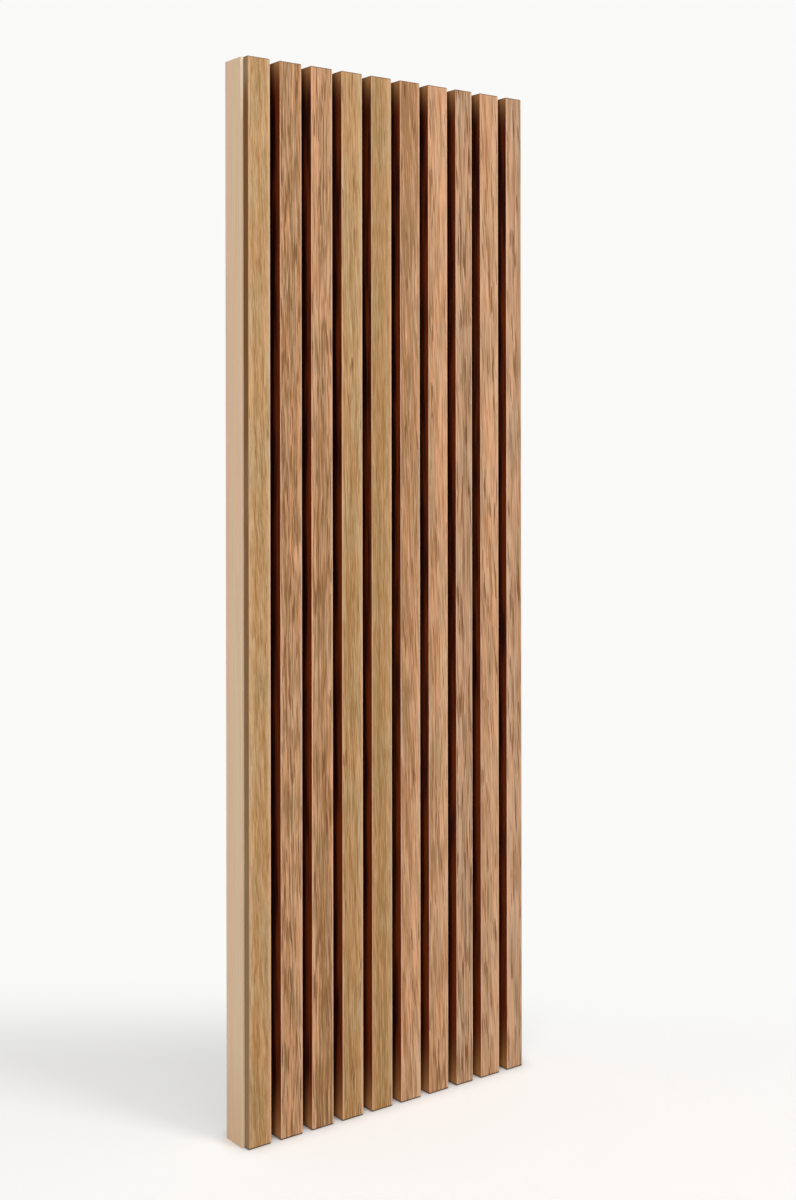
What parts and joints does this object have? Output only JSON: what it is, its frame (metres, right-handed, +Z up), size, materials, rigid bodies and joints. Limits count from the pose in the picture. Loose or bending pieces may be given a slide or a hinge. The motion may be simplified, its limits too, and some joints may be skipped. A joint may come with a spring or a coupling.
{
  "type": "slat wall panel",
  "caption": "Tall narrow wall panel of upright hardwood slats with even gaps on a dark backing board, with a thin pale strip along each long edge.",
  "frame": {"origin": "under the middle of the panel, on the surface that it stands on", "axes": "+Z up along the slats, -Y out of the slats' front, +Y towards the wall, +X to the right as seen from the front"},
  "size_m": [0.4014, 0.043, 1.2],
  "materials": {
    "wood_tan": "oiled olive-tan hardwood with fine dark pores, its sides darker",
    "wood_pink": "oiled pinkish brown hardwood with many dark pores, its sides darker",
    "wood_salmon": "oiled light salmon hardwood with fine dark pores, its sides darker",
    "wood_grey": "oiled greyish brown hardwood with dark streaks, its sides darker",
    "strip_wood": "plain pale wood, matt",
    "board_black": "dyed through, matt",
    "staple_steel": "galvanised wire"
  },
  "bodies": {
    "root": {"slat_1": "wood_tan", "slat_2": "wood_pink", "slat_3": "wood_pink", "slat_4": "wood_tan", "slat_5": "wood_tan", "slat_6": "wood_pink", "slat_7": "wood_salmon", "slat_8": "wood_grey", "slat_9": "wood_salmon", "slat_10": "wood_grey", "backing_board": "board_black", "left_edge_strip": "strip_wood", "right_edge_strip": "strip_wood", "slat_staples": "staple_steel"}
  },
  "joints": []
}
